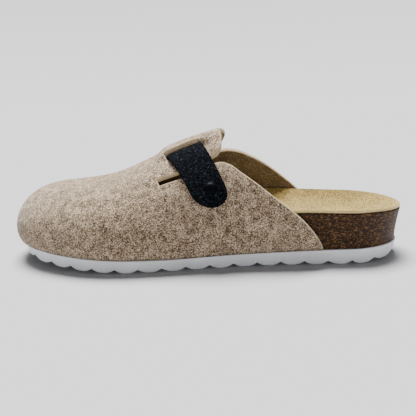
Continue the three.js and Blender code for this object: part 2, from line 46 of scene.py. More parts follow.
soleLow, soleHigh = (np.array(corner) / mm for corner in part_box("outsole"))

# Places along the sole are shares of its length, from 0 at the toe's tip to 1 at the heel
shoe = {
    "soleLength": soleHigh[0] - soleLow[0],
    "ballWidth": 93.5,
    "heelWidth": 66.0,
    "soleThickness": 8.0,
    "heelThickness": 10.5,
    "thickenStart": 0.35,
    "thickenEnd": 0.97,
    "toeSpring": 4.8,
    "treadSpringEnd": 0.32,
    "treadSpringPower": 1.3,
    "topSpringEnd": 0.45,
    "topSpringPower": 1.5,
    "heelSpring": 3.2,
    "heelSpringStart": 0.875,
    "heelSpringPower": 1.6,
    "rimHeight": 36.5,
    "cupHeight": 29.0,
    "bowlFlat": 0.3,  # share of the half width that stays level
    "bowlPower": 2.2,
    "insoleThickness": 1.8,
    "instepHeight": 88.0,
    "feltThickness": 3.6,
    "clearance": 0.3,
    "toeCapShare": 0.23,
    "toeCapPower": 2.15,
    "heelCapShare": 0.135,
}

# Each table reads as smooth curves over the first row, "at"
planTable = {  # along the sole: share of the way from heel width to ball width, and the centre line
    "at": [0, 0.05, 0.1, 0.16, 0.23, 0.3, 0.38, 0.48, 0.58, 0.68, 0.78, 0.9, 1],
    "toBall": [0.85, 0.87, 0.89, 0.93, 0.99, 0.93, 0.68, 0.31, 0.06, -0.01, 0, 0, 0],
    "centre": [0.083, 0.066, 0.045, 0.021, -0.009, -0.029, -0.041, -0.0455, -0.034, -0.018, -0.006,
               -0.003, 0],
}
footbedTable = {  # along the sole: the footbed's edge on both sides in rim heights, its floor in cup heights
    "at": [0, 0.06, 0.12, 0.18, 0.28, 0.36, 0.44, 0.54, 0.64, 0.74, 0.86, 0.94, 1],
    "outer": [0.61, 0.6, 0.57, 0.56, 0.58, 0.64, 0.73, 0.86, 0.97, 1.02, 0.995, 0.985, 0.94],
    "inner": [0.61, 0.6, 0.58, 0.57, 0.6, 0.68, 0.8, 0.97, 1.06, 1.035, 0.99, 0.965, 0.94],
    "floor": [0.67, 0.63, 0.607, 0.58, 0.595, 0.705, 0.81, 0.95, 1, 0.93, 0.855, 0.88, 0.96],
}
corkTable = {  # along the sole, in rim heights: the cork's foot inside the sole's edge, and its top's flare
    "at": [0, 0.3, 0.55, 0.66, 0.75, 0.9, 1],
    "inset": [0.055, 0.055, 0.04, 0.03, 0.027, 0.026, 0.024],
    "flare": [0.01, 0.012, 0.02, 0.045, 0.06, 0.07, 0.088],
}
crestTable = {  # along the sole: height of the upper's crest in instep heights
    "at": [-0.03, 0, 0.05, 0.14, 0.21, 0.26, 0.31, 0.345, 0.38, 0.43, 0.48, 0.53, 0.59, 0.67, 0.76, 0.9],
    "height": [0.566, 0.572, 0.579, 0.598, 0.625, 0.66, 0.71, 0.757, 0.802, 0.868, 0.918, 0.958, 1, 1.05,
               1.1, 1.16],
}
ribTable = {  # for a rib from this share of the edge: where it meets the crest, squareness, swell, round turn
    "at": [0, 0.04, 0.11, 0.19, 0.265, 0.34, 0.42, 0.534, 0.61, 0.69, 0.745, 0.81, 0.9],
    "crest": [0.148, 0.152, 0.17, 0.204, 0.246, 0.289, 0.333, 0.402, 0.452, 0.5, 0.538, 0.58, 0.64],
    "power": [3.15, 3.0, 2.65, 2.5, 2.3, 2.16, 2.05, 1.98, 1.94, 1.92, 1.92, 1.92, 1.92],
    "swell": [0.044, 0.042, 0.036, 0.034, 0.034, 0.032, 0.034, 0.042, 0.05, 0.054, 0.054, 0.054, 0.054],
    "turn": [0, 0, 0.04, 0.12, 0.2, 0.3, 0.4, 0.4, 0.4, 0.4, 0.4, 0.4, 0.4],
}
slitTable = {  # along the sole: the tongue's lower edges as shares of the way from crest to base
    "at": [0.437, 0.5, 0.56, 0.6, 0.64, 0.7],
    "outer": [0.429, 0.432, 0.416, 0.388, 0.366, 0.36],
    "inner": [0.429, 0.43, 0.409, 0.37, 0.34, 0.33],
}
tongueEndTable = {  # across the half tongue: how far it reaches behind the slot, in strap widths
    "at": [0, 0.15, 0.3, 0.44, 0.63, 0.82, 0.92, 1],
    "outer": [0.65, 0.6, 0.48, 0.38, 0.32, 0.27, 0.18, 0.05],
    "inner": [0.65, 0.61, 0.5, 0.42, 0.36, 0.3, 0.2, 0.06],
}
wingEndTable = {  # down the wing: where its rear edge starts on the sole's edge
    "at": [0, 0.012, 0.04, 0.1, 0.2, 0.35, 0.5, 0.7, 0.88, 1],
    "outer": [0.615, 0.632, 0.645, 0.658, 0.667, 0.688, 0.712, 0.755, 0.786, 0.8],
    "inner": [0.628, 0.65, 0.669, 0.686, 0.702, 0.722, 0.743, 0.777, 0.8, 0.806],
}


def readTable(table, column, at):
    # cubic pieces whose slope at each row comes from its two neighbours
    x, y = np.array(table["at"], float), np.array(table[column], float)
    inner = (y[2:] - y[:-2]) / (x[2:] - x[:-2])
    first, last = (y[1] - y[0]) / (x[1] - x[0]), (y[-1] - y[-2]) / (x[-1] - x[-2])
    slope = np.concatenate(([first], inner, [last]))
    at = np.clip(at, x[0], x[-1])
    row = np.clip(np.searchsorted(x, at, side="right") - 1, 0, len(x) - 2)
    span, rise = x[row + 1] - x[row], y[row + 1] - y[row]
    t = (at - x[row]) / span
    low, high = slope[row] * span, slope[row + 1] * span
    return y[row] + t * (low + t * (3 * rise - 2 * low - high + t * (low + high - 2 * rise)))


def blend(low, high, t):
    return low + (high - low) * t


def ease(low, high, value):
    # 0 to 1 between low and high, level at both ends
    t = np.clip((value - low) / (high - low), 0, 1)
    return t * t * (3 - 2 * t)


def unit(v):
    return v / np.maximum(np.linalg.norm(v, axis=-1, keepdims=True), 1e-12)


# Plan of the sole. A station runs from 0 at the toe's tip, over 1 and 2 where the round ends stop, to 3.
def shareToX(share):
    return (share - 0.5) * shoe["soleLength"]


def stationShape(station):
    # a superellipse quarter at the toe, a straight run, and an ellipse quarter at the heel
    toeTurn = np.clip(station, 0, 1) * np.pi / 2
    heelTurn = np.clip(3 - station, 0, 1) * np.pi / 2
    sharpness = 2 / shoe["toeCapPower"]
    toeShare = shoe["toeCapShare"] * (1 - np.maximum(np.cos(toeTurn), 0) ** sharpness)
    heelShare = 1 - shoe["heelCapShare"] * (1 - np.cos(heelTurn))
    middle = blend(shoe["toeCapShare"], 1 - shoe["heelCapShare"], station - 1)
    share = np.where(station < 1, toeShare, np.where(station > 2, heelShare, middle))
    heelFullness = np.where(station > 2, np.sin(heelTurn), 1.0)
    return share, np.where(station < 1, np.sin(toeTurn) ** sharpness, heelFullness)


def shareToStation(share):
    # the same curves, solved for the station
    share = np.asarray(share, float)
    toe, heel = shoe["toeCapShare"], shoe["heelCapShare"]
    toeCosine = np.clip(1 - share / toe, 0, 1) ** (shoe["toeCapPower"] / 2)
    heelCosine = np.clip(1 - (1 - share) / heel, 0, 1)
    middle = 1 + (share - toe) / (1 - heel - toe)
    toeStation = np.arccos(toeCosine) / (np.pi / 2)
    heelStation = 3 - np.arccos(heelCosine) / (np.pi / 2)
    return np.where(share < toe, toeStation, np.where(share > 1 - heel, heelStation, middle))


def soleEdge(station, side):
    # the centre line, moved to the side by the half width times the fullness of the round ends
    share, fullness = stationShape(station)
    half = blend(shoe["heelWidth"], shoe["ballWidth"], readTable(planTable, "toBall", share)) / 2 * fullness
    centre = readTable(planTable, "centre", share) * shoe["ballWidth"]
    return np.stack([shareToX(share), centre + side * half], -1)


def offsetEdge(station, side, offset):
    # the edge moved outwards, square to its own run; past an end the run turns round to the other side
    step = 0.01
    station, side = np.broadcast_arrays(np.asarray(station, float), np.asarray(side, float))
    before = soleEdge(np.abs(station - step), np.where(station < step, -side, side))
    after = soleEdge(3 - np.abs(3 - station - step), np.where(station > 3 - step, -side, side))
    along = unit(after - before)
    outward = np.stack([-side * along[..., 1], side * along[..., 0]], -1)
    return soleEdge(station, side) + outward * np.asarray(offset)[..., None], outward


def treadHeight(share):
    # level, and rising to both ends with powers of the distance past where each spring starts
    start = shoe["heelSpringStart"]
    toe = np.maximum(0, 1 - share / shoe["treadSpringEnd"]) ** shoe["treadSpringPower"]
    heel = np.maximum(0, (share - start) / (1 - start)) ** shoe["heelSpringPower"]
    return shoe["toeSpring"] * toe + shoe["heelSpring"] * heel


def soleTop(share):
    # the same kind of rise at the toe, over a sole that thickens smoothly towards the heel
    toe = np.maximum(0, 1 - share / shoe["topSpringEnd"]) ** shoe["topSpringPower"]
    thicker = ease(shoe["thickenStart"], shoe["thickenEnd"], share)
    return shoe["toeSpring"] * toe + blend(shoe["soleThickness"], shoe["heelThickness"], thicker)


def corkInset(share):
    return readTable(corkTable, "inset", share) * shoe["rimHeight"]


def corkFlare(share):
    return readTable(corkTable, "flare", share) * shoe["rimHeight"]


def footbedTop(station, across):
    # a level floor that rises to the rim with a power of the distance from the middle
    share, fullness = stationShape(station)
    outer, inner = readTable(footbedTable, "outer", share), readTable(footbedTable, "inner", share)
    rim = blend(outer, inner, (across + 1) / 2) * shoe["rimHeight"]
    floor = np.minimum(readTable(footbedTable, "floor", share) * shoe["cupHeight"], rim)
    outwards = np.sqrt(np.maximum(0, 1 - fullness ** 2 * (1 - across ** 2)))
    climb = np.maximum(0, (outwards - shoe["bowlFlat"]) / (1 - shoe["bowlFlat"]))
    return blend(floor, rim, climb ** shoe["bowlPower"])


# The upper's outer face: ribs that leave the sole's edge and meet along the crest. "Across" is 0 on the
# crest and 1 at the base, and negative on the foot's outer side.
upper = {
    "crestAside": 0.03,  # the crest lies this many ball widths to the inner side of the centre line
    "swellHigh": 0.6,  # below 1 the swell of the side lies lower
    "slitStart": 0.432,
    "slitWidth": 4.7,
    "round": 0.85,  # radius of the felt's cut edges
    "wave": 0.22,  # height of the felt's slow unevenness
    "tongueReach": 3.6,
    "leastReach": 0.4,
    "crestLift": 0.9,  # over the strap, in strap thicknesses, as the next two
    "lipLift": 1.4,
    "dip": 0.45,
    "easeBefore": (0.6, 1.7),  # where the push eases off before the strap, in slot half widths
    "easeBehind": (0.8, 1.7),  # where it turns into the flare behind the strap
    "paintedShadeHeight": 1.5,  # height over which painted shade darkens the felt towards the sole
    "base": 0.999,  # lengths near the base are measured here, just short of the ribs' ends
    "spreadFrom": 0.8,
    "lowestLip": 0.93,  # the slot's lower lip ends at this share of the tongue's half width
    "tongueRows": (24, 5, 12),  # over the crest, over the slot, and over the strip below it
    "tongueSteps": (24, 44, 18),  # before the slot, along it, and behind it
    "wingRows": 61,
    "wingRowPower": 1.25,  # above 1 the rows lie closer towards the wing's top
    "wingSteps": 70,
    "vampSteps": (90, 46),
    "betweenRows": 5,
}


def upperPoint(station, across):
    # a superellipse from base to crest in the rib's own plane, swollen outwards by a sine over its height
    station, across = np.broadcast_arrays(np.asarray(station, float), np.asarray(across, float))
    across = np.where(station < 0, -across, across)
    station = np.abs(station)
    side = np.where(across < 0, -1.0, 1.0)
    share, _ = stationShape(station)
    base, outward = offsetEdge(station, side, shoe["feltThickness"] + shoe["clearance"] - corkInset(share))
    crestShare, power, turn, swell = (readTable(ribTable, name, share)
                                      for name in ("crest", "power", "turn", "swell"))
    angle = np.abs(across) * np.pi / 2
    outwards = np.abs(np.sin(angle)) ** (2 / power)
    upwards = np.maximum(0, np.cos(angle)) ** (2 / power)
    backwards = (np.hypot(outwards, turn) - turn) / (np.hypot(1, turn) - turn)
    belly = swell * shoe["ballWidth"] * np.sin(np.pi * upwards ** upper["swellHigh"])
    crestX = shareToX(crestShare)
    crestY = (readTable(planTable, "centre", crestShare) + upper["crestAside"]) * shoe["ballWidth"]
    x = crestX + (base[..., 0] - crestX) * backwards + outward[..., 0] * belly
    y = crestY + (base[..., 1] - crestY) * outwards + outward[..., 1] * belly
    baseHeight = soleTop(share) + shoe["clearance"]
    crest = readTable(crestTable, "height", x / shoe["soleLength"] + 0.5) * shoe["instepHeight"]
    return np.stack([x, y, baseHeight + (crest - baseHeight) * upwards], -1)


def upperNormal(station, across):
    step = 0.004
    along = upperPoint(station + step, across) - upperPoint(station - step, across)
    over = upperPoint(station, across + step) - upperPoint(station, across - step)
    return unit(np.cross(along, over))


def upperOffset(station, across, offset):
    return upperPoint(station, across) + upperNormal(station, across) * np.asarray(offset)[..., None]


def lengthAcross(station, across, length):
    # a length down the side, as a difference of across
    step = 0.01
    over = upperPoint(station, across + step) - upperPoint(station, across - step)
    return length * 2 * step / np.linalg.norm(over, axis=-1)


def lengthAlong(station, across, length):
    # a length square to the rib, as a difference of station
    step = 0.01
    along = upperPoint(station + step, across) - upperPoint(station - step, across)
    rib = unit(upperPoint(station, across + step) - upperPoint(station, across - step))
    square = along - rib * np.sum(along * rib, -1, keepdims=True)
    return length * 2 * step / np.linalg.norm(square, axis=-1)


# Strap, slots and slits
strap = {
    "width": 22.4,
    "thickness": 2.7,
    "share": 0.553,  # where its middle meets the sole's edge, along the sole
    "end": 0.715,  # where it ends, from crest to base
    "lean": 0.185,
    "straight": 0.2,
    "bow": 0.22,  # how far it stands off below the slot, in thicknesses
    "bowStart": 0.6,  # share of the way over the slot where it begins to stand off
    "passing": 0.01,  # its way through the slot starts and ends this much of across past the lips
    "slotWidth": 4.8,
    "slotPlay": 0.3,
    "slotUpper": 0.43,  # the slot's upper lip, as a share of the tongue's half width
    "round": 0.8,
    "endBand": 0.09,  # this much of across before each end has closer rows
    "endRows": 14,
    "rows": 110,
    "columns": 21,
}
snap = {
    "share": 0.603,
    "setback": 0.008,
    "capDiameter": 8.6,
    "capHeight": 1.7,
    "capRound": 0.45,
    "domeInset": 0.75,
    "domeFoot": 0.85,
    "domePower": 3.5,
    "sink": 0.4,
    "studDiameter": 8.0,
    "studHeight": 1.2,
    "studRound": 0.4,
    "studGap": 0.15,
    "socketDepth": 0.5,
    "socket": (0.35, 0.45),  # radius of the stud's hollow at its bottom and at its mouth, in stud radii
}
capStation = shareToStation(strap["share"] + snap["setback"])
slitStation = shareToStation(upper["slitStart"])


def strapMiddle(across):
    # the strap's course leans back towards the crest with the square of the distance from the snap
    climb = snap["share"] - np.maximum(np.abs(across), strap["straight"])
    return shareToStation(strap["share"] + strap["lean"] * climb * np.abs(climb))


def strapHalf(across, inset):
    return lengthAlong(strapMiddle(across), across, strap["width"] / 2 - inset)


def slotHalf(across, growth=0.0):
    return lengthAlong(strapMiddle(across), across, strap["width"] / 2 + strap["slotPlay"] + growth)


def tongueEdge(station, side):
    return readTable(slitTable, side, stationShape(station)[0])


def slotUpper(station, side):
    return strap["slotUpper"] * tongueEdge(station, side)


def slotLower(station, side):
    top = slotUpper(station, side)
    return top + lengthAcross(station, top, strap["slotWidth"])


def wingTop(station, side):
    edge = tongueEdge(station, side)
    return edge + lengthAcross(station, edge, upper["slitWidth"])


def feltPush(station, across, side):
    # the crest rises over the strap, the strip below the slot is pressed in, and the tongue stays flared
    # behind it; before the strap the push eases off to nothing
    crestLift, lipLift, dip = (strap["thickness"] * upper[name] for name in ("crestLift", "lipLift", "dip"))
    height = np.abs(across)
    top, lower, edge = slotUpper(station, side), slotLower(station, side), tongueEdge(station, side)
    fromMiddle = (station - strapMiddle(height)) / slotHalf(height)
    lip = blend(crestLift, lipLift, np.minimum(1, height / top) ** 3)
    strip = -dip * np.maximum(0, 1 - (height - lower) / (edge - lower)) ** 2
    below = np.where(height < lower, -dip, strip)
    banded = blend(lip, below, np.clip((height - top) / (lower - top), 0, 1))
    before = blend(banded, 0, ease(*upper["easeBefore"], -fromMiddle))
    behind = blend(banded, crestLift, ease(*upper["easeBehind"], fromMiddle))
    pushed = np.where(fromMiddle < 0, before, behind)
    return np.where(height > (edge + wingTop(station, side)) / 2, 0, pushed)


def feltPoint(station, across, side):
    point = upperOffset(station, across, feltPush(station, across, side))
    # slow unevenness: three crossed waves of different lengths along the surface
    x, y, z = (point[..., i] for i in range(3))
    wave = np.sin(x / 9.7 + y / 13.1) + np.sin(y / 8.3 - z / 11.9 + 1.3) + np.sin(z / 7.1 + x / 17.3 + 0.4)
    return point + upperNormal(station, across) * (wave * upper["wave"] / 3)[..., None]


# Meshes from grids
weldsPerMm = 500  # points that agree to 1/500 mm are one point


def trianglesOf(rows, columns, start, hole):
    i, j = np.mgrid[0:rows - 1, 0:columns - 1]
    a = start + i * columns + j
    quads = np.stack([a, a + columns, a + columns + 1, a + 1], -1)
    quads = quads[~hole] if hole is not None else quads.reshape(-1, 4)
    return np.concatenate([quads[:, [0, 1, 2]], quads[:, [0, 2, 3]]])


def joinGrids(grids):
    # several grids of points become one sheet: equal points are merged, faces without area dropped
    points, faces, count = [], [], 0
    for grid, hole in grids:
        points.append(grid.reshape(-1, 3))
        faces.append(trianglesOf(grid.shape[0], grid.shape[1], count, hole))
        count += grid.shape[0] * grid.shape[1]
    points, faces = np.concatenate(points), np.concatenate(faces)
    cells = np.round(points * weldsPerMm).astype(np.int64)
    _, first, back = np.unique(cells, axis=0, return_index=True, return_inverse=True)
    points, faces = points[first], back.reshape(-1)[faces]
    a, b, c = faces.T
    return points, faces[(a != b) & (b != c) & (c != a)]


def pointNormals(points, faces):
    # the sum of the neighbouring faces' normals, each as long as its face is large
    a, b, c = (points[faces[:, i]] for i in range(3))
    square = np.cross(b - a, c - a)
    normals = np.zeros_like(points)
    for i in range(3):
        np.add.at(normals, faces[:, i], square)
    return unit(normals)


def wallFrom(grids, thickness, radius, arcSteps=4):
    # a wall behind a sheet, with rounded open edges: an edge's profile is a quarter circle, a straight
    # and a quarter circle, carried along the sheet's rim
    points, faces = joinGrids(grids)
    normals = pointNormals(points, faces)
    count = len(points)
    edges = np.concatenate([faces[:, [0, 1]], faces[:, [1, 2]], faces[:, [2, 0]]])
    forward, backward = edges[:, 0] * count + edges[:, 1], edges[:, 1] * count + edges[:, 0]
    rim = edges[~np.isin(forward, backward)]
    run = unit(points[rim[:, 1]] - points[rim[:, 0]])
    out = np.zeros_like(points)
    for i in range(2):
        np.add.at(out, rim[:, i], np.cross(run, normals[rim[:, i]]))
    rimPoints = np.unique(rim)
    place = np.full(count, -1)
    place[rimPoints] = np.arange(len(rimPoints))
    out, up, base = unit(out[rimPoints]), normals[rimPoints], points[rimPoints]
    turn = np.linspace(0, np.pi / 2, arcSteps + 1)
    sideways = np.concatenate([np.sin(turn), np.sin(turn[::-1])]) * radius
    downwards = np.concatenate([1 - np.cos(turn), np.cos(turn[::-1]) - 1]) * radius
    downwards[arcSteps + 1:] += thickness
    # the first loop would be the sheet's own edge, the last one the inner sheet's
    loops = (base + out * sideways[:, None, None] - up * downwards[:, None, None])[1:-1]
    starts = 2 * count + np.arange(len(loops)) * len(rimPoints)
    rings = [rimPoints, *(start + np.arange(len(rimPoints)) for start in starts), rimPoints + count]
    near, far = place[rim[:, 0]], place[rim[:, 1]]
    allFaces = [faces, faces[:, ::-1] + count]
    for first, second in zip(rings[:-1], rings[1:]):
        allFaces.append(np.stack([first[far], first[near], second[near]], -1))
        allFaces.append(np.stack([first[far], second[near], second[far]], -1))
    allPoints = np.concatenate([points, points - normals * thickness, loops.reshape(-1, 3)])
    # marks for the materials: the rounded cut edges, where the felt gets a painted highlight, and the inner
    # face
    cutEdge, inside = np.zeros(len(allPoints)), np.zeros(len(allPoints))
    cutEdge[2 * count:] = 1
    inside[count:2 * count] = 1
    return allPoints, np.concatenate(allFaces), {"cutEdge": cutEdge, "inside": inside}


def outlineCorner():
    # the lowest X and Y of the sole's outline in its own millimetres
    stations = np.linspace(0, 3, 1201)
    return np.concatenate([soleEdge(stations, -1.0), soleEdge(stations, 1.0)]).min(0)


shift = np.array([*(soleLow[:2] - outlineCorner()), 0.0])
print("shift in mm", shift.round(3))


def addMesh(name, points, faces, material):
    mesh = bpy.data.meshes.new(name)
    mesh.from_pydata(points.tolist(), [], faces.tolist())
    mesh.polygons.foreach_set("use_smooth", np.ones(len(faces), bool))
    mesh.materials.append(material)
    thing = bpy.data.objects.new(name, mesh)
    bpy.context.scene.collection.objects.link(thing)
    return thing


def addPiece(name, points, faces, material, node, attributes=None):
    piece = addMesh(name, (points + shift) * mm, faces, material)
    for key, values in (attributes or {}).items():
        layer = piece.data.attributes.new(key, "FLOAT", "POINT")
        layer.data.foreach_set("value", values.astype(np.float32))
    piece.data.update()
    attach(piece, "root")
    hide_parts(node)
    print(name, len(points), "points", len(faces), "triangles")


# Materials, all on Object coordinates or on the pieces' own attributes
def srgb(*channels):
    # a colour as read off a screen, made linear
    return tuple(((v / 255 + 0.055) / 1.055) ** 2.4 if v > 10 else v / 255 / 12.92 for v in channels)


def newMaterial(name, finish):
    material = bpy.data.materials.new(name)
    material.use_nodes = True
    tree = material.node_tree
    shader = tree.nodes["Principled BSDF"]
    for socket, value in finish.items():
        shader.inputs[socket].default_value = value
    coords = tree.nodes.new("ShaderNodeTexCoord")
    return material, tree, shader, coords.outputs["Object"]


def connect(tree, value, socket):
    # a socket is linked, a colour or number is set
    if isinstance(value, bpy.types.NodeSocket):
        tree.links.new(value, socket)
    elif isinstance(value, tuple):
        socket.default_value = (*value, 1)
    else:
        socket.default_value = value


def noise(tree, coords, scale, detail=4.0, roughness=0.6, distortion=0.0):
    node = tree.nodes.new("ShaderNodeTexNoise")
    node.inputs["Scale"].default_value = scale
    node.inputs["Detail"].default_value = detail
    node.inputs["Roughness"].default_value = roughness
    node.inputs["Distortion"].default_value = distortion
    tree.links.new(coords, node.inputs["Vector"])
    return node.outputs["Fac"]


def ramp(tree, value, stops):
    node = tree.nodes.new("ShaderNodeValToRGB")
    elements = node.color_ramp.elements
    while len(elements) < len(stops):
        elements.new(0.5)
    for element, (position, color) in zip(elements, stops):
        element.position = position
        element.color = (*color, 1)
    tree.links.new(value, node.inputs["Fac"])
    return node.outputs["Color"]


def mix(tree, factor, a, b):
    node = tree.nodes.new("ShaderNodeMix")
    node.data_type = "RGBA"
    for value, socket in ((factor, node.inputs[0]), (a, node.inputs[6]), (b, node.inputs[7])):
        connect(tree, value, socket)
    return node.outputs[2]


def maths(tree, kind, a, b):
    node = tree.nodes.new("ShaderNodeMath")
    node.operation = kind
    connect(tree, a, node.inputs[0])
    connect(tree, b, node.inputs[1])
    return node.outputs[0]


def weighted(tree, first, second, share):
    # the first pattern times what is left of the share, plus the second times the share
    return maths(tree, "ADD", maths(tree, "MULTIPLY", first, 1 - share), maths(tree, "MULTIPLY", second, share))


def bump(tree, shader, height, distance, strength, before=None):
    node = tree.nodes.new("ShaderNodeBump")
    node.inputs["Distance"].default_value = distance
    node.inputs["Strength"].default_value = strength
    tree.links.new(height, node.inputs["Height"])
    if before is not None:
        tree.links.new(before, node.inputs["Normal"])
    tree.links.new(node.outputs["Normal"], shader.inputs["Normal"])
    return node.outputs["Normal"]


def attribute(tree, name):
    node = tree.nodes.new("ShaderNodeAttribute")
    node.attribute_name = name
    return node.outputs["Fac"]


def feltMaterial():
    # speckles over blotches give the fleck; the inner face is olive, partly its own tone and partly painted
    # shade; cut edges get a painted highlight; painted shade darkens the felt by the sole
    look = {
        "dark": srgb(44, 32, 21),
        "middle": srgb(114, 93, 70),
        "light": srgb(216, 194, 164),
        # painted highlight along the felt's cut edges
        "cut": srgb(206, 184, 146),
        "cutShare": 0.5,
        # the inner face's olive: partly its own tone, partly painted shade
        "inside": srgb(84, 70, 34),
        "insideToneAndShadeShare": 0.7,
        # painted shade, laid on the felt next to the sole
        "seamAndPaintedShade": srgb(20, 15, 10),
        "blotch": 210.0,
        "speckle": 1400.0,
        "speckleShare": 0.84,
        "fibre": 2200.0,
        "finish": {"Roughness": 0.95, "Specular IOR Level": 0.12, "Sheen Weight": 0.15, "Sheen Roughness": 0.6},
    }
    material, tree, shader, coords = newMaterial("beige wool felt", look["finish"])
    blotches = noise(tree, coords, look["blotch"], 3, 0.6, 0.3)
    speckles = noise(tree, coords, look["speckle"], 5, 0.72, 0.9)
    fibres = noise(tree, coords, look["fibre"], 3, 0.7, 1.6)
    fleck = weighted(tree, blotches, speckles, look["speckleShare"])
    color = ramp(tree, fleck, [(0.42, look["dark"]), (0.5, look["middle"]), (0.58, look["light"])])
    # inner face: partly its own olive tone and partly painted shade
    inner = mix(tree, look["insideToneAndShadeShare"], color, look["inside"])
    color = mix(tree, attribute(tree, "inside"), color, inner)
    # painted highlight on the cut edges
    edge = maths(tree, "MULTIPLY", attribute(tree, "cutEdge"), look["cutShare"])
    color = mix(tree, edge, color, look["cut"])
    # painted shade on the felt close to the sole
    color = mix(tree, attribute(tree, "paintedShadeNearSole"), color, look["seamAndPaintedShade"])
    tree.links.new(color, shader.inputs["Base Color"])
    soft = bump(tree, shader, speckles, 0.0006, 0.6)
    bump(tree, shader, fibres, 0.0003, 0.7, soft)
    return material


def strapMaterial():
    look = {
        "dark": srgb(1, 1, 2),
        "middle": srgb(5, 6, 8),
        "light": srgb(60, 71, 84),
        "blotch": 900.0,
        "fibre": 1700.0,
        "finish": {"Roughness": 0.92, "Specular IOR Level": 0.04},
    }
    material, tree, shader, coords = newMaterial("anthracite wool felt", look["finish"])
    blotches = noise(tree, coords, look["blotch"], 5, 0.6, 0.4)
    fibres = noise(tree, coords, look["fibre"], 4, 0.7, 1.6)
    fleck = weighted(tree, blotches, fibres, 0.5)
    color = ramp(tree, fleck, [(0.45, look["dark"]), (0.53, look["middle"]), (0.66, look["light"])])
    tree.links.new(color, shader.inputs["Base Color"])
    soft = bump(tree, shader, blotches, 0.001, 0.6)
    bump(tree, shader, fibres, 0.0004, 0.9, soft)
    return material


def foamMaterial():
    look = {
        "low": srgb(214, 216, 218),
        "high": srgb(230, 231, 234),
        "cloud": 60.0,
        "grain": 900.0,
        "finish": {"Roughness": 0.5, "Specular IOR Level": 0.4, "Subsurface Weight": 0.08,
                   "Subsurface Radius": (0.004, 0.004, 0.004)},
    }
    material, tree, shader, coords = newMaterial("light moulded foam", look["finish"])
    color = ramp(tree, noise(tree, coords, look["cloud"], 3, 0.5), [(0.3, look["low"]), (0.7, look["high"])])
    tree.links.new(color, shader.inputs["Base Color"])
    bump(tree, shader, noise(tree, coords, look["grain"], 3, 0.6), 0.0002, 0.35)
    return material


def corkMaterial():
    # granules are cells in bent and flattened coordinates, each with its own tone, with dark gaps between
    look = {
        "gap": srgb(16, 8, 2),
        "dark": srgb(42, 24, 7),
        "middle": srgb(72, 43, 15),
        "bright": srgb(130, 96, 56),
        "granule": 1200.0,
        "flatten": (0.75, 0.75, 1.5),
        "bend": 500.0,
        "bendSize": 0.0012,
        "gapWidth": 0.09,
        "finish": {"Roughness": 0.55, "Specular IOR Level": 0.22},
    }
    material, tree, shader, coords = newMaterial("dark varnished cork", look["finish"])
    warp = tree.nodes.new("ShaderNodeTexNoise")
    warp.inputs["Scale"].default_value = look["bend"]
    tree.links.new(coords, warp.inputs["Vector"])
    flat = tree.nodes.new("ShaderNodeMapping")
    flat.inputs["Scale"].default_value = look["flatten"]
    tree.links.new(coords, flat.inputs["Vector"])
    bent = tree.nodes.new("ShaderNodeVectorMath")
    bent.operation = "MULTIPLY_ADD"
    tree.links.new(warp.outputs["Color"], bent.inputs[0])
    bent.inputs[1].default_value = (look["bendSize"],) * 3
    tree.links.new(flat.outputs["Vector"], bent.inputs[2])
    cells, edges = (tree.nodes.new("ShaderNodeTexVoronoi") for _ in range(2))
    edges.feature = "DISTANCE_TO_EDGE"
    for node in (cells, edges):
        node.inputs["Scale"].default_value = look["granule"]
        tree.links.new(bent.outputs[0], node.inputs["Vector"])
    apart = tree.nodes.new("ShaderNodeSeparateColor")
    tree.links.new(cells.outputs["Color"], apart.inputs[0])
    tones = ramp(tree, apart.outputs[0], [(0.0, look["gap"]), (0.3, look["dark"]), (0.7, look["middle"]),
                                          (1.0, look["bright"])])
    seamAndPaintedShade = ramp(tree, edges.outputs["Distance"], [(0.0, (0, 0, 0)), (look["gapWidth"], (1, 1, 1))])
    tree.links.new(mix(tree, seamAndPaintedShade, look["gap"], tones), shader.inputs["Base Color"])
    bump(tree, shader, seamAndPaintedShade, 0.0003, 0.7)
    return material


def suedeMaterial():
    look = {
        "low": srgb(76, 60, 24),
        "high": srgb(174, 148, 82),
        # painted highlight colour for the upright rim
        "rim": srgb(232, 212, 160),
        "cloud": 110.0,
        "nap": 1350.0,
        "napShare": 0.84,
        "finish": {"Roughness": 0.9, "Specular IOR Level": 0.2, "Sheen Weight": 0.2},
    }
    material, tree, shader, coords = newMaterial("tan split leather", look["finish"])
    cloud = noise(tree, coords, look["cloud"], 5, 0.65, 0.6)
    nap = noise(tree, coords, look["nap"], 3, 0.7, 0.8)
    grain = weighted(tree, cloud, nap, look["napShare"])
    color = ramp(tree, grain, [(0.42, look["low"]), (0.55, look["high"])])
    # painted highlight on the rim
    color = mix(tree, attribute(tree, "rim"), color, look["rim"])
    tree.links.new(color, shader.inputs["Base Color"])
    bump(tree, shader, nap, 0.00025, 0.6)
    return material


def snapMaterial():
    look = {"color": srgb(3, 4, 8), "grain": 2500.0, "finish": {"Roughness": 0.45, "Specular IOR Level": 0.04}}
    material, tree, shader, coords = newMaterial("dark enamelled snap", look["finish"])
    shader.inputs["Base Color"].default_value = (*look["color"], 1)
    bump(tree, shader, noise(tree, coords, look["grain"], 2), 0.00004, 0.3)
    return material


# Upper: a vamp, a tongue and a wing on each side, as grids that share their edges
tongueRows = np.arange(sum(upper["tongueRows"]) + 1)
wingRows = np.linspace(0, 1, upper["wingRows"]) ** upper["wingRowPower"]


def tongueRim(station, side):
    # the tongue's edge, held back by the radius of its rounded rim
    edge = tongueEdge(station, side)
    return edge - lengthAcross(station, edge, upper["round"])


